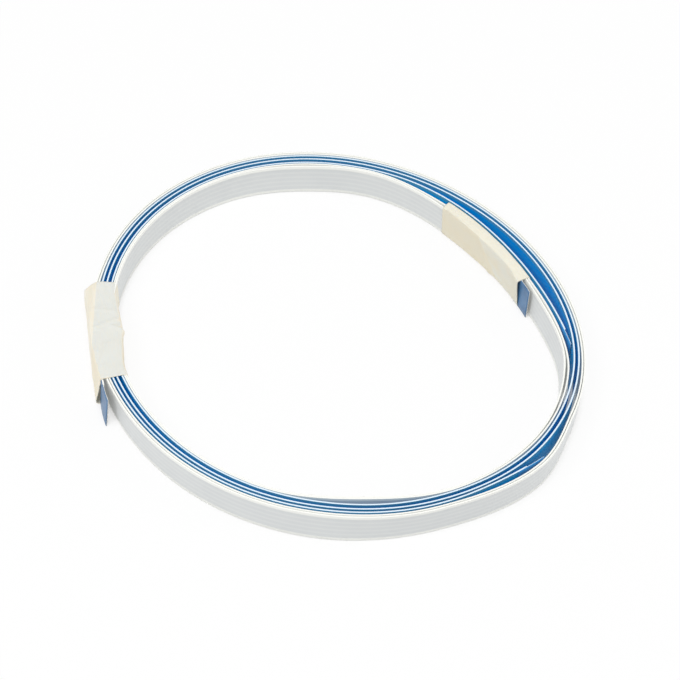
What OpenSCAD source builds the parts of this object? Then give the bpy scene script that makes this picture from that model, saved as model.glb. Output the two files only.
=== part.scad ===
// Coil of three flat flex cables, standing on its edge and held by two wraps of masking tape.
// Millimetres. +Z is up, the cables' width runs along Z and -Y is the front.
// A place round the coil is its winding angle: degrees clockwise, seen from above, from +X.

/* [Flat cable] */
// Conductors in each cable
conductors = 5; // [2:1:12]
// Distance from one conductor to the next
pitch = 1.25; // [1:0.05:2.54]
// Width of one flat conductor
conductor_w = 0.8; // [0.4:0.05:0.95]
// Thickness of one flat conductor
conductor_t = 0.1; // [0.05:0.01:0.15]
// Thickness of each of the two laminated films
film_t = 0.08; // [0.05:0.01:0.12]
// Bare length of the contacts at each end
contact_l = 4; // [2:0.5:5]
// Length of the stiffener that backs each end
stiffener_l = 6; // [5.5:0.5:8]
// Thickness of the stiffener
stiffener_t = 0.12; // [0.1:0.01:0.2]

/* [Coil] */
// Mean radius of the seam between the outer white cable and the blue cable
seam_r = 49.1; // [45:0.1:120]
// How much longer or shorter than the mean radius the oval's axes are
oval = 3; // [0:0.1:4]
// Winding angle of the oval's long axis
oval_dir = 45; // [0:5:90]
// Height of the soft three-cornered bend in the oval
trefoil = 0.4; // [0:0.05:0.8]
// Height of the soft four-cornered bend in the oval
quatrefoil = 0.12; // [0:0.02:0.2]
// Air between cables of different colours
seam_gap = 0.34; // [0.3:0.01:0.45]
// Air between the turns of a white cable
white_gap = 0.24; // [0.15:0.01:0.3]
// Air between the blue cable's first and second turns
first_blue_gap = 0.67; // [0.5:0.01:0.8]
// Air between the blue cable's second and third turns
second_blue_gap = 0.79; // [0.6:0.01:1]
// How far the last turns have sprung inward at the inner tape
slump = 1.6; // [1.2:0.1:2]
// How far the inner white cable sags inward at the front
sag = 1.05; // [0:0.05:1.2]
// How far the blue cable's outer end springs outward and pushes the outer turns
nose = 1.45; // [0.8:0.05:1.6]
// How far the outer cable's free end springs out of the coil
flare = 1.6; // [1:0.1:2.5]

/* [Masking tape] */
// Length along the coil that the left tape covers
left_tape_w = 27; // [20:0.5:30]
// Length along the coil that the inner tape covers
inner_tape_w = 29.5; // [26:0.5:31]
// Thickness of the tape where it wraps the coil
tape_t = 0.15; // [0.1:0.01:0.2]
// Air between the tape and what it wraps
tape_gap = 0.05; // [0.03:0.01:0.08]
// How far the left tape's loose side stands off the coil at its middle
tape_skirt = 0.3; // [0.1:0.1:1.5]

/* [Hidden] */
// The three cables, from the outside in.
OUTER = 0;
BLUE = 1;
INNER = 2;
CABLES = ["outer_white", "blue", "inner_white"];
COLOURS = ["gainsboro", "steelblue", "whitesmoke"];
turn = 360;
// Winding angles of each cable's outer end and inner end.
STARTS = [153, 41, 327];
ENDS = [171 + 2 * turn, 357 + 2 * turn, 339 + 2 * turn];
LEFT_TAPE_MID = 172.5;
INNER_TAPE_MID = 321.5;

cable_t = 2 * film_t + conductor_t;
cable_w = (conductors + 1) * pitch;
edge_w = pitch - conductor_w / 2;
white_step = cable_t + white_gap;
first_blue_step = cable_t + first_blue_gap;
second_blue_step = cable_t + second_blue_gap;
cable_z = tape_t + tape_gap;
// Degrees in one straight facet of a turn, and facets along a tape.
facet = 6;
tape_facets = 10;
// The bevel of a tape's creases on the inside.
crease = 0.6 * tape_gap;
eps = 0.001;

// Smooth step from 0 at a to 1 at b.
function ramp(x, a, b) =
    let (s = min(1, max(0, (x - a) / (b - a))))
    s * s * (3 - 2 * s);

// Smooth bump from 0 at a to 1 at b and back to 0 at c.
function bump(x, a, b, c) = ramp(x, a, b) * (1 - ramp(x, b, c));

// How far an end has sprung, from 1 at the end to 0 at its reach, l degrees from the end.
function sprung(l, reach) = pow(max(0, 1 - l / reach), 2);

// The seam's distance from the coil's centre, that distance's slope, and the seam's own radius.
// Each lobe is [height, number of corners, angle the lobe's cosine starts from].
lobes = [[oval, 2, 2 * oval_dir], [trefoil, 3, 50], [quatrefoil, 4, 72]];
function seam_h(u) = seam_r + sum([for (l = lobes) l[0] * cos(l[1] * u - l[2])]);
function seam_slope(u) = -sum([for (l = lobes) l[0] * l[1] * sin(l[1] * u - l[2])]);
function seam_bend(u) = seam_r - sum([for (l = lobes) l[0] * (l[1] * l[1] - 1) * cos(l[1] * u - l[2])]);
function sum(values) = values * [for (v = values) 1];

// Plan point at winding angle u, d outside the seam along its normal, about the winding's centre.
function wound(u, d) =
    let (h = seam_h(u) + d, slope = seam_slope(u))
    [h * cos(u) - slope * sin(u), -h * sin(u) - slope * cos(u)];

// The same point in the part's frame, whose origin is under the middle of the whole coil's box.
function place(u, d) = wound(u, d) - centre;

// Degrees that a length spans at winding angle u.
function span(l, u) = l / seam_bend(u) * 180 / PI;

// Middle of the outer white cable: two close turns over the blue end, with the free end sprung outward.
function outer_lie(u) =
    seam_gap / 2 + cable_t / 2
    + white_step * (2 - ramp(u, 172, 195) - ramp(u, 172 + turn, 195 + turn))
    + flare * (1 - ramp(u, STARTS[OUTER] - 4, STARTS[OUTER] + 11))
    + (nose - 0.05) * bump(u % turn, 22, 43, 72);

// Middle of the blue cable: three open turns, the last one slumped, with both ends sprung outward.
first_blue = -seam_gap / 2 - cable_t / 2;
third_blue = first_blue - first_blue_step - second_blue_step;
function blue_lie(u) =
    first_blue
    - 0.1 * (1 - ramp(u, 150, 190))
    + nose * sprung(u - STARTS[BLUE], 22)
    - first_blue_step * (0.55 * ramp(u, 350, 390) + 0.45 * ramp(u, 398, 434))
    - second_blue_step * (0.6 * ramp(u, 712, 748) + 0.4 * ramp(u, 757, 797))
    - slump * ramp(u, 1014, 1050)
    + (slump + 0.55) * sprung(ENDS[BLUE] - u, 26);

// Middle of the inner white cable: two close turns that slump at the tape and sag at the front.
home = third_blue - cable_t - 0.22;
function inner_start(u) = home - (slump + 0.5) * (1 - ramp(u, 333, 366)) + 0.3 * bump(u, 352, 368, 430);
function inner_turn(u) =
    home
    - (slump + 0.95) * (0.75 * ramp(u, 646, 674) + 0.25 * ramp(u, 668, 690))
    + (slump + 0.45) * ramp(u, 697, 724)
    + 0.14 * ramp(u, 724, 760);
function inner_end(u) =
    home - 0.36
    - 0.35 * bump(u, 968, 990, 1004)
    - (slump + 1.73) * ramp(u, 1005, 1044)
    + 0.25 * ramp(u, 1050, 1059);
function inner_lie(u) =
    (u < 450 ? inner_start(u) : u < 850 ? inner_turn(u) : inner_end(u))
    - sag * bump(u % turn, 65, 88, 112);

function lie(c, u) = c == OUTER ? outer_lie(u) : c == BLUE ? blue_lie(u) : inner_lie(u);

// Winding angles where a cable's facets meet: its ends, its strips' ends and every facet between.
function stations(c) =
    let (
        a = STARTS[c],
        b = ENDS[c],
        strip_a = a + span(contact_l, a),
        stiff_a = a + span(stiffener_l, a),
        strip_b = b - span(contact_l, b),
        stiff_b = b - span(stiffener_l, b)
    )
    concat(
        [a, strip_a, stiff_a],
        [for (u = [facet * ceil(stiff_a / facet + 0.1) : facet : stiff_b - 0.5]) u],
        [stiff_b, strip_b, b]
    );

// A wall that follows cable c from winding angle a to b, between offsets d0 and d1 from its middle.
module wall(c, a, b, d0, d1, z, h) {
    us = [for (u = stations(c)) if (u >= a - eps && u <= b + eps) u];
    n = len(us);
    outside = [for (u = us) place(u, lie(c, u) + d1)];
    inside = [for (k = [n - 1 : -1 : 0]) place(us[k], lie(c, us[k]) + d0)];
    translate([0, 0, cable_z + z])
        linear_extrude(h)
            polygon(concat(outside, inside));
}

// The outer end's contacts are bare on the inward face, the inner end's on the outward face.
module outward_film(c) {
    bare = span(contact_l, ENDS[c]);
    color(COLOURS[c])
        wall(c, STARTS[c], ENDS[c] - bare, conductor_t / 2, conductor_t / 2 + film_t, 0, cable_w);
}

// The inward film carries the two lips that seal the cable's edges.
module inward_film(c) {
    a = STARTS[c] + span(contact_l, STARTS[c]);
    b = ENDS[c];
    face = -conductor_t / 2;
    color(COLOURS[c]) {
        wall(c, a, b, face - film_t, face, 0, cable_w);
        wall(c, a, b - span(contact_l, b), face, -face, 0, edge_w);
        wall(c, a, b - span(contact_l, b), face, -face, cable_w - edge_w, edge_w);
    }
}

module conductor(c, k) {
    color("silver")
        wall(c, STARTS[c], ENDS[c], -conductor_t / 2, conductor_t / 2,
             k * pitch - conductor_w / 2, conductor_w);
}

module outer_stiffener(c) {
    a = STARTS[c];
    color("lightsteelblue")
        wall(c, a, a + span(stiffener_l, a), cable_t / 2, cable_t / 2 + stiffener_t, 0, cable_w);
}

module inner_stiffener(c) {
    b = ENDS[c];
    color("lightsteelblue")
        wall(c, b - span(stiffener_l, b), b, -cable_t / 2 - stiffener_t, -cable_t / 2, 0, cable_w);
}

// Section of a tape wrap as [offset, height] points. It is d0 to d1 wide, its outward side leans out
// by skirt at the foot, and grow is 0 on the wrap's inside and tape_t on its outside.
function wrap_section(d0, d1, skirt, grow) =
    let (low = cable_z - tape_gap - grow, high = cable_z + cable_w + tape_gap + grow, cut = crease + grow)
    [
        [d0 - grow, low + cut],
        [d0 - grow, high - cut],
        [d0 - grow + cut, high],
        [d1 + grow - cut, high],
        [d1 + grow, high - cut],
        [d1 + skirt + grow, low + cable_w / 4],
        [d1 + skirt + grow, low + cut],
        [d1 + skirt + grow - cut, low],
        [d0 - grow + cut, low]
    ];

// A tube of tape lofted through its sections; each ring is [angle at d0, angle at d1, d0, d1, skirt].
module wrap(rings) {
    n = len(wrap_section(0, 1, 0, 0));
    m = len(rings);
    skin = function(grow) [
        for (r = rings, p = wrap_section(r[2], r[3], r[4], grow))
            let (
                t = min(1, max(0, (p[0] - r[2]) / (r[3] - r[2]))),
                xy = place(r[0] + (r[1] - r[0]) * t, p[0])
            )
            [xy.x, xy.y, p[1]]
    ];
    out = function(i, k) i * n + k % n;
    in = function(i, k) m * n + i * n + k % n;
    faces = concat(
        [for (i = [0 : m - 2], k = [0 : n - 1]) [out(i, k), out(i + 1, k), out(i + 1, k + 1), out(i, k + 1)]],
        [for (i = [0 : m - 2], k = [0 : n - 1]) [in(i, k), in(i, k + 1), in(i + 1, k + 1), in(i + 1, k)]],
        [for (k = [0 : n - 1]) [out(0, k), out(0, k + 1), in(0, k + 1), in(0, k)]],
        [for (k = [0 : n - 1]) [out(m - 1, k), in(m - 1, k), in(m - 1, k + 1), out(m - 1, k + 1)]]
    );
    polyhedron(concat(skin(tape_t), skin(0)), faces);
}

// The left tape goes round the whole bundle. Its loose side is flat: at the foot it runs straight.
function left_rings() =
    let (
        half = span(left_tape_w, LEFT_TAPE_MID) / 2,
        normal = [cos(LEFT_TAPE_MID), -sin(LEFT_TAPE_MID)],
        hug = function(u) outer_lie(u) + cable_t / 2 + stiffener_t + tape_gap,
        flat = wound(LEFT_TAPE_MID, hug(LEFT_TAPE_MID) + tape_skirt) * normal
    )
    [
        for (s = [0 : 1 / tape_facets : 1])
            let (
                u0 = LEFT_TAPE_MID - 1.12 * half + 2.24 * half * s,
                u1 = LEFT_TAPE_MID + 1 - 0.94 * half + 1.88 * half * s,
                d0 = inner_lie(u0 + 2 * turn) - cable_t / 2 - tape_gap
            )
            [u0, u1, d0, hug(u1), (flat - wound(u1, hug(u1)) * normal) / cos(u1 - LEFT_TAPE_MID)]
    ];

// The inner tape goes round the inner white cable alone, clear of the blue cable's last turn.
function inner_rings() =
    let (half = span(inner_tape_w, INNER_TAPE_MID) / 2)
    [
        for (s = [0 : 1 / tape_facets : 1])
            let (
                u = INNER_TAPE_MID - half + 2 * half * s,
                d0 = inner_lie(u + 2 * turn) - cable_t / 2 - stiffener_t - tape_gap,
                d1 = max(inner_lie(u + turn), inner_lie(u) + stiffener_t) + cable_t / 2 + tape_gap
            )
            [u, u, d0, d1, 0]
    ];

module left_tape() {
    color("cornsilk") wrap(left_rings());
}

module inner_tape() {
    color("wheat") wrap(inner_rings());
}

// The coil's outermost points, and the middle of the box round them.
outline = concat(
    [for (u = stations(OUTER)) wound(u, outer_lie(u) + cable_t / 2)],
    [for (r = left_rings()) wound(r[1], r[3] + r[4] + tape_t)]
);
function middle(values) = (max(values) + min(values)) / 2;
centre = [middle([for (p = outline) p.x]), middle([for (p = outline) p.y])];

for (c = [OUTER, BLUE, INNER]) {
    name = CABLES[c];
    outward_film(c);
    inward_film(c);
    for (k = [1 : conductors])
        conductor(c, k);
    outer_stiffener(c);
    inner_stiffener(c);
}
left_tape();
inner_tape();
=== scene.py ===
"""Looks of a coil of three flat flex cables that stands on its edge, held by two wraps of masking tape.

Lengths are in millimetres up to the last step, which writes each mesh in metres. A place round the
coil is its winding angle: degrees clockwise, seen from above, from +X, as in the part's source.
"""

import math

import bpy
import numpy as np
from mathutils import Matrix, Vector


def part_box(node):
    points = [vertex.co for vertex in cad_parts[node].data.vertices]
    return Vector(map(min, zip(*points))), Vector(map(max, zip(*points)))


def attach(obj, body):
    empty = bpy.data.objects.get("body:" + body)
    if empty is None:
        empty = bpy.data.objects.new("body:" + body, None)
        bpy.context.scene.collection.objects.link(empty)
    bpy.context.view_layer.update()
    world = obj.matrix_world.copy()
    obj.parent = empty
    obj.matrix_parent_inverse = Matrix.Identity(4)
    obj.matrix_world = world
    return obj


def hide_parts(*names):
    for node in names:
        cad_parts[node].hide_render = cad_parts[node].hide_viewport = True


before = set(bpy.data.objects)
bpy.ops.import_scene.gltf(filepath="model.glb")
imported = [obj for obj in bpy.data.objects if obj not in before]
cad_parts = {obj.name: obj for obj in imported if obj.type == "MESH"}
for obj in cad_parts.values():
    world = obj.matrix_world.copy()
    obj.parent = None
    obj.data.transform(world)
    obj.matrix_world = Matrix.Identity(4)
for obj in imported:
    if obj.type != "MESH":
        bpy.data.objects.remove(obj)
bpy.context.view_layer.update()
METRE = 0.001

# Flat cable
CONDUCTORS = 5
PITCH = 1.25
CONDUCTOR_W = 0.8
CONDUCTOR_T = 0.1
FILM_T = 0.08
CONTACT_L = 4
STIFFENER_L = 6
STIFFENER_T = 0.12
CABLE_T = 2 * FILM_T + CONDUCTOR_T
CABLE_W = (CONDUCTORS + 1) * PITCH

# Coil, round the seam between the outer white cable and the blue cable.
# Each lobe of the ring is (height, number of corners, angle its cosine starts from).
SEAM_R = 49.1
LOBES = ((3, 2, 90), (0.4, 3, 50), (0.12, 4, 72))
SEAM_GAP = 0.34
WHITE_STEP = CABLE_T + 0.24
FIRST_BLUE_STEP = CABLE_T + 0.67
SECOND_BLUE_STEP = CABLE_T + 0.79

# How far the last turns spring in, the inner white cable sags in at the front, the blue cable's outer
# end springs out, and the outer white cable's free end springs out
SLUMP = 1.6
SAG = 1.05
NOSE = 1.45
FLARE = 1.6

# How far the bundle leans over its height, and the foot of the outer white cable's free end springs out
LEAN = 0.7
FOOT_FLARE = 0.8

# How far a cable's upper lip stands proud of its films, and its lower lip sinks into them
LIP_SWELL = 0.03
LIP_SINK = 0.01

# Winding angles of each cable's outer end and inner end
TURN = 360
CABLES = ("outer_white", "blue", "inner_white")
STARTS = {"outer_white": 153, "blue": 41, "inner_white": 327}
ENDS = {"outer_white": 171 + 2 * TURN, "blue": 357 + 2 * TURN, "inner_white": 339 + 2 * TURN}

# Masking tape
LEFT_TAPE_W = 27
INNER_TAPE_W = 29.5
LEFT_TAPE_MID = 172.5
INNER_TAPE_MID = 321.5
TAPE_T = 0.15
TAPE_GAP = 0.05
TAPE_SKIRT = 0.3
CABLE_Z = TAPE_T + TAPE_GAP
TAPE_LOW = CABLE_Z - TAPE_GAP - TAPE_T
TAPE_HIGH = CABLE_Z + CABLE_W + TAPE_GAP + TAPE_T

# Each tape's mesh: sections along it, points on each side of a section, passes that round its corners
TAPE_STATIONS = 110
TAPE_SIDE_POINTS = (26, 18, 12, 24, 20)
TAPE_ROUNDING = 12

# Where the painted shade on the left tape's top begins, in x from the winding's centre
LEFT_PAINTED_TOP_X = -49.5

# Creases, each (from, to, width, height) with places as (millimetres along the cable, round the tape)
LEFT_FOLDS = (
    ((15.5, 8.5), (13.4, 13), 0.45, 0.32),
    ((12, 7), (13.6, 9.5), 0.5, 0.34),
    ((0, 13.4), (12, 12.8), 0.3, 0.12),
    ((0, 15.2), (10, 14.4), 0.35, 0.14),
    ((1, 11), (8, 10.5), 0.4, 0.08),
    ((16, 8), (27, 10.5), 0.6, 0.1),
    ((18, 9), (19, 13), 0.5, 0.14),
    ((2, 13), (9, 10.5), 0.4, 0.16),
)
INNER_FOLDS = (
    ((12, 9), (17, 0), 0.9, 0.16),
    ((17, 8), (21, 1), 0.7, 0.08),
    ((2, 8), (11, 8.6), 0.6, 0.12),
)

# Light, floor and camera. The lamps' places and sizes and the floor's reach are in metres.
FILM_GLOW = 0.08
DOME = 0.58
LAMP_SIZE = 0.5
KEY_PLACE = (-0.38, -0.33, 0.85)
KEY_POWER = 4
FILL_PLACE = (0.75, -0.05, 0.45)
FILL_POWER = 1.6
FLOOR_REACH = 1.5
FLOOR_WHITE = 0.92
SHADE_REACH = 2.5
CAMERA_UP = math.radians(48.49)
CAMERA_FAR = 600
CAMERA_LENS = 154.1
CAMERA_SHIFT = (0.0071, 0.0143)


# ---------------------------------------------------------------- the coil's shape


def ramp(x, a, b):
    """Smooth step from 0 at a to 1 at b."""
    s = np.clip((np.asarray(x, float) - a) / (b - a), 0, 1)
    return s * s * (3 - 2 * s)


def bump(x, a, b, c):
    """Smooth bump from 0 at a to 1 at b and back to 0 at c."""
    return ramp(x, a, b) * (1 - ramp(x, b, c))


def sprung(length, reach):
    """How far an end has sprung, from 1 at the end to 0 at its reach, length degrees from the end."""
    return np.maximum(0, 1 - length / reach) ** 2


def wound(u, d):
    """Plan point at winding angle u, offset d outward from the seam, about the winding's centre."""
    u, d = np.broadcast_arrays(np.asarray(u, float), np.asarray(d, float))
    a = np.radians(u)
    h = SEAM_R + d
    slope = 0
    for height, corners, start in LOBES:
        lobe = np.radians(corners * u - start)
        h = h + height * np.cos(lobe)
        slope = slope - height * corners * np.sin(lobe)
    return np.stack([h * np.cos(a) - slope * np.sin(a), -h * np.sin(a) - slope * np.cos(a)], -1)


def span(length, u):
    """Degrees that a length spans at winding angle u."""
    bend = SEAM_R
    for height, corners, start in LOBES:
        bend -= height * (corners**2 - 1) * math.cos(math.radians(corners * u - start))
    return math.degrees(length / bend)


def outer_lie(u):
    """Middle of the outer white cable: two close turns over the blue end, a free end sprung outward."""
    start = STARTS["outer_white"]
    return (
        SEAM_GAP / 2
        + CABLE_T / 2
        + WHITE_STEP * (2 - ramp(u, 172, 195) - ramp(u, 172 + TURN, 195 + TURN))
        + FLARE * (1 - ramp(u, start - 4, start + 11))
        + (NOSE - 0.05) * bump(np.asarray(u) % TURN, 22, 43, 72)
    )


FIRST_BLUE = -SEAM_GAP / 2 - CABLE_T / 2
INNER_HOME = FIRST_BLUE - FIRST_BLUE_STEP - SECOND_BLUE_STEP - CABLE_T - 0.22


def blue_lie(u):
    """Middle of the blue cable: three open turns, the last one slumped, with both ends sprung outward."""
    return (
        FIRST_BLUE
        - 0.1 * (1 - ramp(u, 150, 190))
        + NOSE * sprung(u - STARTS["blue"], 22)
        - FIRST_BLUE_STEP * (0.55 * ramp(u, 350, 390) + 0.45 * ramp(u, 398, 434))
        - SECOND_BLUE_STEP * (0.6 * ramp(u, 712, 748) + 0.4 * ramp(u, 757, 797))
        - SLUMP * ramp(u, 1014, 1050)
        + (SLUMP + 0.55) * sprung(ENDS["blue"] - u, 26)
    )


def inner_lie(u):
    """Middle of the inner white cable: two close turns that slump at the tape and sag at the front."""
    u = np.asarray(u, float)
    start = -(SLUMP + 0.5) * (1 - ramp(u, 333, 366)) + 0.3 * bump(u, 352, 368, 430)
    second = (
        -(SLUMP + 0.95) * (0.75 * ramp(u, 646, 674) + 0.25 * ramp(u, 668, 690))
        + (SLUMP + 0.45) * ramp(u, 697, 724)
        + 0.14 * ramp(u, 724, 760)
    )
    end = (
        -0.36
        - 0.35 * bump(u, 968, 990, 1004)
        - (SLUMP + 1.73) * ramp(u, 1005, 1044)
        + 0.25 * ramp(u, 1050, 1059)
    )
    passes = np.where(u < 450, start, np.where(u < 850, second, end))
    return INNER_HOME + passes - SAG * bump(u % TURN, 65, 88, 112)


def lean(cable, u, z):
    """How far a turn stands outward at height z.

    The bundle leans at the right, and the foot of the outer white cable's free end springs out.
    """
    u = np.asarray(u, float)
    side = (u + 180) % TURN - 180
    bundle = LEAN * ramp(side, -65, 0) * (1 - ramp(side, 74, 102)) * (z / CABLE_W - 0.5)
    if cable != "outer_white":
        return bundle
    return bundle + FOOT_FLARE * (1 - z / CABLE_W) * (1 - ramp(u, STARTS[cable], STARTS[cable] + 16))


LIE = {"outer_white": outer_lie, "blue": blue_lie, "inner_white": inner_lie}


def winding_centre():
    """The winding's centre in the row frame, found from where the outer cable's stiffener lies."""
    a = STARTS["outer_white"]
    us = np.array([a, a + span(CONTACT_L, a), a + span(STIFFENER_L, a)])
    lie = outer_lie(us)
    corners = np.concatenate([wound(us, lie + CABLE_T / 2), wound(us, lie + CABLE_T / 2 + STIFFENER_T)])
    low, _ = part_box("outer_white_outer_stiffener")
    return corners.min(0) - np.array([low.x, low.y]) / METRE


CENTRE = winding_centre()


def place(u, d):
    """Plan point in the row frame, in millimetres."""
    return wound(u, d) - CENTRE


# ---------------------------------------------------------------- meshes


def loft(name, rings, uvs, caps=True):
    """A mesh through closed rings, an array of (station, point, xyz). The uvs are millimetres too."""
    m, n = rings.shape[:2]
    i, k = np.meshgrid(np.arange(m - 1), np.arange(n), indexing="ij")
    k1 = (k + 1) % n
    quads = np.stack([i * n + k, i * n + k1, (i + 1) * n + k1, (i + 1) * n + k], -1).reshape(-1, 4)
    faces = quads.tolist()
    if caps:
        faces += [list(range(n - 1, -1, -1)), [(m - 1) * n + j for j in range(n)]]
    mesh = bpy.data.meshes.new(name)
    mesh.from_pydata((rings.reshape(-1, 3) * METRE).tolist(), [], faces)
    layer = mesh.uv_layers.new(name="along")
    loops = np.zeros(len(mesh.loops), int)
    mesh.loops.foreach_get("vertex_index", loops)
    layer.data.foreach_set("uv", uvs.reshape(-1, 2)[loops].astype(np.float32).ravel())
    mesh.polygons.foreach_set("use_smooth", np.ones(len(mesh.polygons), bool))
    mesh.update()
    obj = bpy.data.objects.new(name, mesh)
    bpy.context.scene.collection.objects.link(obj)
    return obj


def strip_section(d0, d1, z0, z1, bevel=0.008, rows=8):
    """A flat strip's section as (offset, height) points, bevelled, with rows of points up each face."""
    zs = np.linspace(z0 + bevel, z1 - bevel, rows)
    face_in = [(d0, z) for z in zs]
    face_out = [(d1, z) for z in zs[::-1]]
    top = [(d0 + bevel, z1), (d1 - bevel, z1)]
    foot = [(d1 - bevel, z0), (d0 + bevel, z0)]
    return np.array(face_in + top + face_out + foot)


def strip(name, cable, a, b, d0, d1, z0, z1, step=1.5, **section):
    """A strip along a cable from winding angle a to b, between offsets d0 and d1 from its middle."""
    us = np.linspace(a, b, max(4, int(round((b - a) / step)) + 1))
    pts = strip_section(d0, d1, z0, z1, **section)
    dd = LIE[cable](us)[:, None] + pts[None, :, 0] + lean(cable, us[:, None], pts[None, :, 1])
    xy = place(us[:, None], dd)
    z = np.broadcast_to(CABLE_Z + pts[None, :, 1], xy.shape[:2])
    rings = np.concatenate([xy, z[..., None]], -1)
    along = np.broadcast_to(np.radians(us - a)[:, None] * SEAM_R, xy.shape[:2])
    return loft(name, rings, np.stack([along, z], -1))


# ---------------------------------------------------------------- materials


def rgb(r, g, b):
    """A colour given as screen values from 0 to 255, for a shader."""
    screen = [v / 255 for v in (r, g, b)]
    return tuple(v / 12.92 if v <= 0.04 else ((v + 0.055) / 1.055) ** 2.4 for v in screen) + (1,)


class Shader:
    """A material's node tree, with short calls for the nodes used here."""

    def __init__(self, name):
        self.material = bpy.data.materials.new(name)
        self.material.use_nodes = True
        self.tree = self.material.node_tree
        self.bsdf = self.tree.nodes["Principled BSDF"]
        self.coord = self.tree.nodes.new("ShaderNodeTexCoord")

    def node(self, kind, inputs=(), **settings):
        made = self.tree.nodes.new("ShaderNode" + kind)
        for key, value in settings.items():
            setattr(made, key, value)
        for key, value in dict(inputs).items():
            self.feed(made.inputs[key], value)
        return made

    def feed(self, socket, value):
        if isinstance(value, bpy.types.NodeSocket):
            self.tree.links.new(value, socket)
        else:
            socket.default_value = value

    def math(self, operation, *values):
        return self.node("Math", dict(enumerate(values)), operation=operation).outputs[0]

    def noise(self, scale, detail=3, stretch=(1, 1, 1), source="Object"):
        mapped = self.node("Mapping", {"Vector": self.coord.outputs[source], "Scale": stretch})
        made = self.node("TexNoise", {"Vector": mapped.outputs[0], "Scale": scale, "Detail": detail})
        return made.outputs["Fac"]

    def axis(self, vector, name):
        """One axis, X, Y or Z, of a vector socket."""
        return self.node("SeparateXYZ", {0: vector}).outputs[name]

    def upward(self):
        """How far the surface faces up, from -1 to 1."""
        return self.axis(self.node("NewGeometry").outputs["Normal"], "Z")

    def mix(self, factor, a, b):
        made = self.node("Mix", data_type="RGBA")
        self.feed(made.inputs["Factor"], factor)
        self.feed(made.inputs["A"], a)
        self.feed(made.inputs["B"], b)
        return made.outputs["Result"]

    def level(self, value, low, high, to_low=0.0, to_high=1.0):
        """value mapped smoothly from low..high to to_low..to_high."""
        return self.node(
            "MapRange",
            {"Value": value, "From Min": low, "From Max": high, "To Min": to_low, "To Max": to_high},
            interpolation_type="SMOOTHSTEP",
        ).outputs[0]

    def bump(self, height, distance, strength=1.0, base=None):
        made = self.node("Bump", {"Height": height, "Distance": distance, "Strength": strength})
        if base is not None:
            self.feed(made.inputs["Normal"], base)
        return made.outputs[0]

    def set(self, **values):
        for key, value in values.items():
            self.feed(self.bsdf.inputs[key.replace("_", " ")], value)
        return self.material


def film(name, face, margin, edge, glow, gloss, ridges):
    """Laminated film: faint ridges over the conductors, paler margins and pale cut edges.

    The faint glow stands for the light that comes through the thin film into the gaps between turns.
    The margins' colour is partly real, film with no copper behind it, and partly painted light and shade:
    paler on the white film as painted light let in at its top edge, greyer on the blue film as the
    painted shade of the narrow gaps between turns.
    """
    s = Shader(name)
    z = s.axis(s.coord.outputs["Object"], "Z")
    row = s.math("DIVIDE", s.math("SUBTRACT", z, CABLE_Z * METRE), PITCH * METRE)
    wave = s.math("COSINE", s.math("MULTIPLY", row, 2 * math.pi))
    over_foot = s.level(row, 0.35, 0.75)
    under_top = s.level(row, CONDUCTORS + 0.65, CONDUCTORS + 0.25)
    inside = s.math("MULTIPLY", over_foot, under_top)
    ridge = s.math("MULTIPLY", s.level(wave, -0.9, 0.2), inside)
    cloud = s.level(s.noise(160, detail=2), 0.3, 0.7)
    scuff = s.level(s.noise(1.0, detail=4, stretch=(0.08, 3, 1), source="UV"), 0.55, 0.8)
    # Margin colour: partly film with no copper behind it, partly painted light and shade.
    shade = s.mix(inside, margin, face)
    shade = s.mix(s.math("MULTIPLY", s.math("SUBTRACT", inside, ridge), 0.15), shade, margin)
    shade = s.mix(s.math("MULTIPLY", cloud, 0.08), shade, margin)
    cut = s.level(s.math("ABSOLUTE", s.upward()), 0.35, 0.75)
    relief = s.bump(ridge, 0.01 * METRE, ridges)
    return s.set(
        Base_Color=s.mix(cut, shade, edge),
        Roughness=s.level(scuff, 0, 1, 0.4, 0.5),
        Normal=s.bump(scuff, 0.001 * METRE, 0.4, relief),
        Specular_IOR_Level=gloss,
        Emission_Color=glow,
        Emission_Strength=FILM_GLOW,
    )


def tin():
    """Tinned flat copper, drawn along its length."""
    s = Shader("conductor")
    drawn = s.noise(1.2, detail=4, stretch=(0.4, 9, 1), source="UV")
    return s.set(
        Base_Color=s.mix(s.level(drawn, 0.3, 0.7), rgb(196, 194, 188), rgb(226, 224, 218)),
        Metallic=1.0,
        Roughness=s.level(drawn, 0.2, 0.8, 0.22, 0.38),
        Normal=s.bump(drawn, 0.004 * METRE, 0.5),
    )


def stiffener(name, deep, pale, worn):
    """Blue polyester backing, satin and a little cloudy, rubbed paler here and there."""
    s = Shader(name)
    cloud = s.noise(420, detail=3)
    rubbed = s.noise(1.0, detail=4, stretch=(0.3, 2, 1), source="UV")
    shade = s.mix(s.level(cloud, 0.25, 0.75), deep, pale)
    return s.set(
        Base_Color=s.mix(s.level(rubbed, 0.55, 0.8, 0, 0.35), shade, worn),
        Roughness=s.level(rubbed, 0.3, 0.7, 0.34, 0.5),
        Normal=s.bump(rubbed, 0.003 * METRE, 0.3),
        Coat_Weight=0.15,
        Coat_Roughness=0.25,
    )


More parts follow.
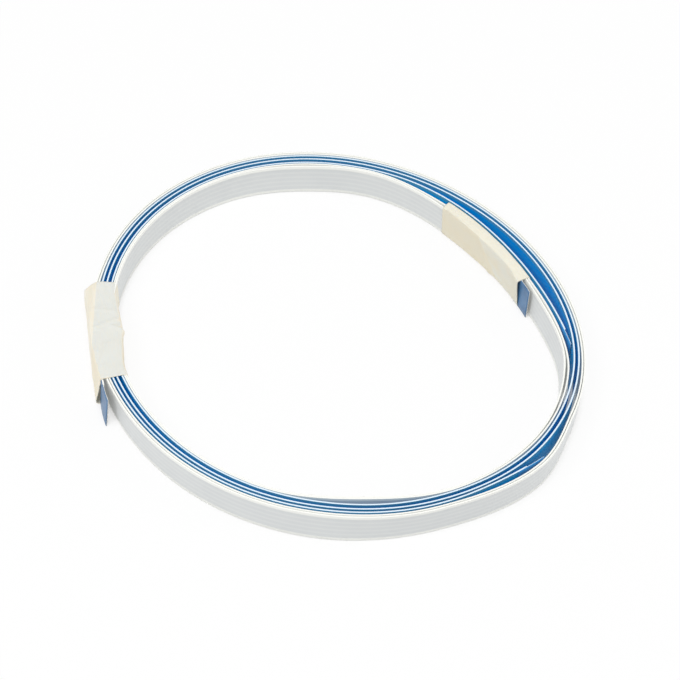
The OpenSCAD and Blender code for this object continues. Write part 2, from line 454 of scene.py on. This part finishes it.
def crepe(name, pale, deep, top, painted_top_x, lap, lap_slope):
    """Creped masking tape: fine ribs, soft stains and one more layer up to a slanted lap.

    Right of the x given, the surfaces that face up take the top colour: painted light and shade, set by
    which way the tape faces. lap is in millimetres along the cable.
    """
    s = Shader(name)
    ribs = s.noise(1.0, detail=5, stretch=(0.5, 4.5, 1), source="UV")
    soft = s.noise(1.0, detail=3, stretch=(0.12, 0.35, 1), source="UV")
    fibre = s.noise(2200, detail=3)
    along, around = s.axis(s.coord.outputs["UV"], "X"), s.axis(s.coord.outputs["UV"], "Y")
    slant = s.math("MULTIPLY_ADD", around, lap_slope, along)
    layer = s.level(slant, lap + 0.35, lap - 0.35)
    colour = s.mix(s.level(soft, 0.38, 0.66, 0, 0.5), pale, deep)
    colour = s.mix(s.math("MULTIPLY", layer, 0.6), colour, deep)
    right = s.level(s.axis(s.coord.outputs["Object"], "X"), painted_top_x * METRE, (painted_top_x + 0.3) * METRE)
    # Painted light and shade: right of the given x, surfaces that face up take the top colour.
    colour = s.mix(s.math("MULTIPLY", s.level(s.upward(), 0.75, 0.95, 0, 0.9), right), colour, top)
    # Painted shade: the rib valleys take a little of the deeper colour.
    colour = s.mix(s.level(ribs, 0.25, 0.6, 0.26, 0), colour, deep)
    relief = s.bump(ribs, 0.06 * METRE, 0.8)
    relief = s.bump(layer, 0.06 * METRE, 0.7, relief)
    relief = s.bump(fibre, 0.004 * METRE, 0.3, relief)
    return s.set(
        Base_Color=colour,
        Roughness=s.level(ribs, 0.2, 0.8, 0.62, 0.8),
        Normal=relief,
        Subsurface_Weight=0.2,
        Subsurface_Radius=(0.6, 0.5, 0.4),
        Subsurface_Scale=0.0006,
        Specular_IOR_Level=0.3,
    )


WHITE = film(
    "white_film",
    face=rgb(203, 206, 207),
    # Paler margin: partly film with no copper behind it, partly painted light let in at the top edge.
    margin=rgb(234, 235, 230),
    edge=rgb(246, 246, 241),
    glow=(1, 1, 0.97, 1),
    gloss=0.2,
    ridges=0.18,
)
BLUE = film(
    "blue_film",
    face=rgb(0, 156, 228),
    # Greyer margin: partly film with no copper behind it, partly painted shade of the narrow gaps.
    margin=rgb(84, 146, 184),
    edge=rgb(232, 244, 254),
    glow=(0, 0.36, 0.64, 1),
    gloss=0.07,
    ridges=0.5,
)
TIN = tin()
STIFFENER = stiffener("stiffener", rgb(58, 104, 148), rgb(78, 124, 168), rgb(134, 162, 192))
AZURE_STIFFENER = stiffener("azure_stiffener", rgb(40, 140, 210), rgb(70, 160, 222), rgb(150, 200, 236))
LEFT_CREPE = crepe(
    "left_crepe",
    pale=rgb(247, 241, 226),
    deep=rgb(241, 231, 208),
    # Greyer top: painted shade on the faces that point up.
    top=rgb(229, 231, 226),
    painted_top_x=LEFT_PAINTED_TOP_X - CENTRE[0],
    lap=12,
    lap_slope=0.25,
)
INNER_CREPE = crepe(
    "inner_crepe",
    pale=rgb(229, 227, 215),
    deep=rgb(232, 222, 198),
    # Paler top: painted light on the faces that point up.
    top=rgb(246, 241, 224),
    painted_top_x=-SEAM_R,
    lap=20,
    lap_slope=0.95,
)


def dress(obj, material, slot, *nodes):
    """Gives a piece its material and its place on the object."""
    obj.data.materials.append(material)
    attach(obj, "root")
    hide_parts(*nodes)


# ---------------------------------------------------------------- cables


def cable(name):
    """One cable: two films, five conductors and a stiffener behind the bare contacts of each end."""
    a, b = STARTS[name], ENDS[name]
    bare_a, bare_b = a + span(CONTACT_L, a), b - span(CONTACT_L, b)
    coat, slot, backing = WHITE, "white_film", STIFFENER
    if name == "blue":
        coat, slot, backing = BLUE, "blue_film", AZURE_STIFFENER
    half, core = CABLE_T / 2, CONDUCTOR_T / 2
    outward = strip(name + "_outward", name, a, bare_b, core, half, 0, CABLE_W)
    dress(outward, coat, slot, name + "_outward_film")
    inward = strip(name + "_inward", name, bare_a, b, -half, -core, 0, CABLE_W)
    dress(inward, coat, slot, name + "_inward_film")
    lip_w = PITCH - CONDUCTOR_W / 2
    for side, out, foot, top in (
        ("lower", core + LIP_SINK, 0, lip_w),
        ("upper", half + LIP_SWELL, CABLE_W - lip_w, CABLE_W + LIP_SWELL),
    ):
        lip = strip(f"{name}_{side}_lip", name, bare_a, bare_b, -out, out, foot, top)
        dress(lip, coat, slot)
    for k in range(1, CONDUCTORS + 1):
        z = k * PITCH - CONDUCTOR_W / 2
        flat = strip(f"{name}_flat_{k}", name, a, b, -core, core, z, z + CONDUCTOR_W, bevel=0.01, rows=2)
        dress(flat, TIN, "conductor", f"{name}_conductor_{k}")
    for end, first, last, d in (
        ("outer", a, a + span(STIFFENER_L, a), half),
        ("inner", b - span(STIFFENER_L, b), b, -half - STIFFENER_T),
    ):
        back = strip(f"{name}_{end}_back", name, first, last, d, d + STIFFENER_T, 0, CABLE_W, step=0.5)
        dress(back, backing, "stiffener", f"{name}_{end}_stiffener")


for cable_name in CABLES:
    cable(cable_name)


# ---------------------------------------------------------------- masking tape


def rounded(corners, counts, passes):
    """A closed loop with so many points on each side between corners, which averaging rounds."""
    points = []
    for k, count in enumerate(counts):
        a, b = np.array(corners[k], float), np.array(corners[(k + 1) % len(corners)], float)
        points += [a + (b - a) * j / count for j in range(count)]
    loop = np.array(points)
    for _ in range(passes):
        loop = 0.5 * loop + 0.25 * (np.roll(loop, 1, 0) + np.roll(loop, -1, 0))
    return loop


def noise_at(points, scale, seed):
    """Smooth noise between -1 and 1 at each point, from a few crossed waves."""
    rng = np.random.default_rng(seed)
    total = np.zeros(points.shape[:-1])
    for octave in range(4):
        for _ in range(5):
            direction = rng.normal(size=3)
            direction /= np.linalg.norm(direction)
            phase = rng.uniform(0, 2 * math.pi)
            wave = 2 * math.pi * (points @ direction) * (1.7**octave) / scale + phase
            total += np.sin(wave + 1.3 * np.sin(0.6 * wave + phase)) / (1.6**octave)
    return total / 7


def fold(along, girth, a, b, width, height):
    """A soft ridge on the surface from a to b, each a point as (millimetres along, millimetres round)."""
    a, b = np.array(a, float), np.array(b, float)
    points = np.stack([along, girth], -1) - a
    t = np.clip(points @ (b - a) / ((b - a) @ (b - a)), 0, 1)
    off = np.linalg.norm(points - t[..., None] * (b - a), axis=-1)
    return height * np.exp(-((off / width) ** 2))


def wrap(side, section, width, material, folds, seed, swell):
    """A wrap of tape, gently uneven by swell millimetres and creased along its folds.

    section(s) gives the corners of its outside as (angle, offset, height), at s from 0 to 1 along it.
    """
    rings, uvs = [], []
    for s in np.linspace(0, 1, TAPE_STATIONS):
        loop = rounded(section(s), TAPE_SIDE_POINTS, TAPE_ROUNDING)
        rings.append(np.concatenate([place(loop[:, 0], loop[:, 1]), loop[:, 2:]], -1))
        around = np.linalg.norm(np.diff(rings[-1], axis=0), axis=1)
        girth = np.concatenate([[0], np.cumsum(around)])
        uvs.append(np.stack([np.full(len(loop), s * width), girth], -1))
    rings, uvs = np.array(rings), np.array(uvs)
    out = np.roll(rings, -1, 1) - np.roll(rings, 1, 1)
    along = np.gradient(rings, axis=0)
    normal = np.cross(along, out)
    normal /= np.linalg.norm(normal, axis=-1, keepdims=True) + 1e-9
    inward = rings.mean(1, keepdims=True) - rings
    normal *= -np.sign((normal * inward).sum(-1, keepdims=True))
    lift = swell * noise_at(rings, 9, seed) + 0.4 * swell * noise_at(rings, 3.2, seed + 1)
    for line in folds:
        lift = lift + fold(uvs[..., 0], uvs[..., 1], *line)
    rings = rings + normal * lift[..., None]
    rings[..., 2] = np.maximum(rings[..., 2], TAPE_LOW)
    obj = loft(side + "_wrap", rings, uvs, caps=False)
    thick = obj.modifiers.new("thickness", "SOLIDIFY")
    thick.thickness = TAPE_T * METRE
    thick.offset = 1
    dress(obj, material, "tape", side + "_tape")


def left_hug(u):
    """Outside of the left tape where it hugs the outer cable."""
    return float(outer_lie(u)) + CABLE_T / 2 + TAPE_GAP + TAPE_T


LEFT_ANGLE = math.radians(LEFT_TAPE_MID)
LEFT_AXIS = np.array([math.cos(LEFT_ANGLE), -math.sin(LEFT_ANGLE)])
LEFT_FLAT = float(wound(LEFT_TAPE_MID, left_hug(LEFT_TAPE_MID) + STIFFENER_T + TAPE_SKIRT) @ LEFT_AXIS)


def left_section(s):
    """The left tape goes round the whole bundle.

    Its inner side stands loose in the middle. Its outer side is flat: at the foot it runs straight.
    """
    half = span(LEFT_TAPE_W, LEFT_TAPE_MID) / 2
    u0 = LEFT_TAPE_MID - half + 2.05 * half * s
    u1 = LEFT_TAPE_MID + 1 - 1.02 * half + 1.96 * half * s
    foot = LEFT_TAPE_MID + 1.8 - 1.03 * half + 2.06 * half * s
    d0 = float(inner_lie(u0 + 2 * TURN)) - CABLE_T / 2 - TAPE_GAP - TAPE_T
    loose = 1.9 * float(bump(s, -0.05, 0.5, 1))
    d1 = left_hug(u1)
    straight = LEFT_FLAT - float(wound(foot, 0) @ LEFT_AXIS)
    d2 = max(d1 + 0.15, straight / math.cos(math.radians(foot - LEFT_TAPE_MID)))
    puff = 0.1 + 0.12 * float(bump(s, 0.1, 0.5, 1))
    droop = 0.1 + 2.2 * float(ramp(s, 0.4, 1))
    return [
        (u0, d0 - 0.4 * loose, TAPE_LOW),
        (u0, d0 - loose, TAPE_HIGH),
        (u1, d1 - 0.1, TAPE_HIGH + puff),
        (u1 - 0.6 * s, d1 + 0.72 * (d2 - d1) * s, TAPE_HIGH - droop),
        (foot, d2, TAPE_LOW),
    ]


def inner_section(s):
    """The inner tape goes round the inner white cable alone, its top leaning against the blue cable."""
    half = span(INNER_TAPE_W, INNER_TAPE_MID) / 2
    u = INNER_TAPE_MID - half + 2 * half * s
    wall = CABLE_T / 2 + TAPE_GAP + TAPE_T
    d0 = float(inner_lie(u + 2 * TURN)) - STIFFENER_T - wall
    loose = 0.55 * float(ramp(s, 0.8, 1))
    d1 = max(float(inner_lie(u + TURN)), float(inner_lie(u)) + STIFFENER_T) + wall
    top = max(d1, float(blue_lie(u + 2 * TURN)) - CABLE_T / 2 - 0.1)
    return [
        (u, d0 - 0.3 * loose, TAPE_LOW),
        (u, d0 - loose, TAPE_HIGH - 0.15),
        (u, 0.6 * d0 + 0.4 * d1, TAPE_HIGH + 0.1),
        (u, top, TAPE_HIGH),
        (u, d1, TAPE_LOW),
    ]


wrap("left", left_section, LEFT_TAPE_W, LEFT_CREPE, LEFT_FOLDS, seed=3, swell=0.13)
wrap("inner", inner_section, INNER_TAPE_W, INNER_CREPE, INNER_FOLDS, seed=8, swell=0.05)


# ---------------------------------------------------------------- light, floor and camera


def lamp(name, position, power):
    """A round soft lamp that faces the coil."""
    light = bpy.data.lights.new(name, "AREA")
    light.shape = "DISK"
    light.size = LAMP_SIZE
    light.energy = power
    obj = bpy.data.objects.new(name, light)
    obj.location = position
    obj.rotation_euler = Vector(position).to_track_quat("Z", "Y").to_euler()
    bpy.context.scene.collection.objects.link(obj)


def seen(tree):
    """1 for what is seen, directly, in gloss or through glass, and 0 for light that falls on things."""
    rays = tree.nodes.new("ShaderNodeLightPath")
    either = rays.outputs["Is Camera Ray"]
    for also in ("Is Glossy Ray", "Is Transmission Ray"):
        both = tree.nodes.new("ShaderNodeMath")
        both.operation = "MAXIMUM"
        tree.links.new(either, both.inputs[0])
        tree.links.new(rays.outputs[also], both.inputs[1])
        either = both.outputs[0]
    return either


def backdrop():
    """White behind everything, and a softer white dome that lights the object."""
    world = bpy.data.worlds.new("studio")
    bpy.context.scene.world = world
    world.use_nodes = True
    tree = world.node_tree
    tree.nodes.clear()
    white, dome = tree.nodes.new("ShaderNodeBackground"), tree.nodes.new("ShaderNodeBackground")
    for node, strength in ((white, 1), (dome, DOME)):
        node.inputs["Color"].default_value = (1, 1, 1, 1)
        node.inputs["Strength"].default_value = strength
    choose = tree.nodes.new("ShaderNodeMixShader")
    tree.links.new(seen(tree), choose.inputs[0])
    tree.links.new(dome.outputs[0], choose.inputs[1])
    tree.links.new(white.outputs[0], choose.inputs[2])
    tree.links.new(choose.outputs[0], tree.nodes.new("ShaderNodeOutputWorld").inputs[0])


def floor():
    """A white floor that throws light back up and keeps a faint soft shadow of the coil.

    Its seen white is darkened by painted shade where the coil closes it in, which makes most of that
    faint shadow and keeps any gap between turns from showing bright floor.
    """
    mesh = bpy.data.meshes.new("floor")
    r = FLOOR_REACH
    mesh.from_pydata([(-r, -r, 0), (r, -r, 0), (r, r, 0), (-r, r, 0)], [], [(0, 1, 2, 3)])
    obj = bpy.data.objects.new("floor", mesh)
    bpy.context.scene.collection.objects.link(obj)
    s = Shader("floor")
    s.set(Base_Color=(0.94, 0.94, 0.94, 1), Roughness=0.9, Specular_IOR_Level=0.1)
    glow = s.node("Emission", {"Color": (1, 1, 1, 1), "Strength": 1.0})
    # Ambient occlusion darkens the floor's seen glow: painted shade under and between the turns.
    open_sky = s.node("AmbientOcclusion", {"Distance": SHADE_REACH * METRE}, samples=4).outputs["AO"]
    unshaded = s.level(open_sky, 0, 0.7, 0, FLOOR_WHITE)
    blend = s.node("MixShader", {0: s.math("MULTIPLY", seen(s.tree), unshaded)})
    s.tree.links.new(s.bsdf.outputs[0], blend.inputs[1])
    s.tree.links.new(glow.outputs[0], blend.inputs[2])
    s.tree.links.new(blend.outputs[0], s.tree.nodes["Material Output"].inputs[0])
    obj.data.materials.append(s.material)


def camera():
    """Looks down on the coil from the front."""
    data = bpy.data.cameras.new("camera")
    data.lens = CAMERA_LENS
    data.sensor_width = 36
    data.shift_x, data.shift_y = CAMERA_SHIFT
    data.clip_start, data.clip_end = 0.01, 10
    obj = bpy.data.objects.new("camera", data)
    target = np.array([-CENTRE[0], -CENTRE[1], CABLE_Z])
    away = np.array([0, -math.cos(CAMERA_UP), math.sin(CAMERA_UP)]) * CAMERA_FAR
    obj.location = (target + away) * METRE
    obj.rotation_euler = (math.pi / 2 - CAMERA_UP, 0, 0)
    bpy.context.scene.collection.objects.link(obj)
    bpy.context.scene.camera = obj


backdrop()
floor()
lamp("key", KEY_PLACE, KEY_POWER)
lamp("fill", FILL_PLACE, FILL_POWER)
camera()
bpy.context.scene.view_settings.view_transform = "Standard"
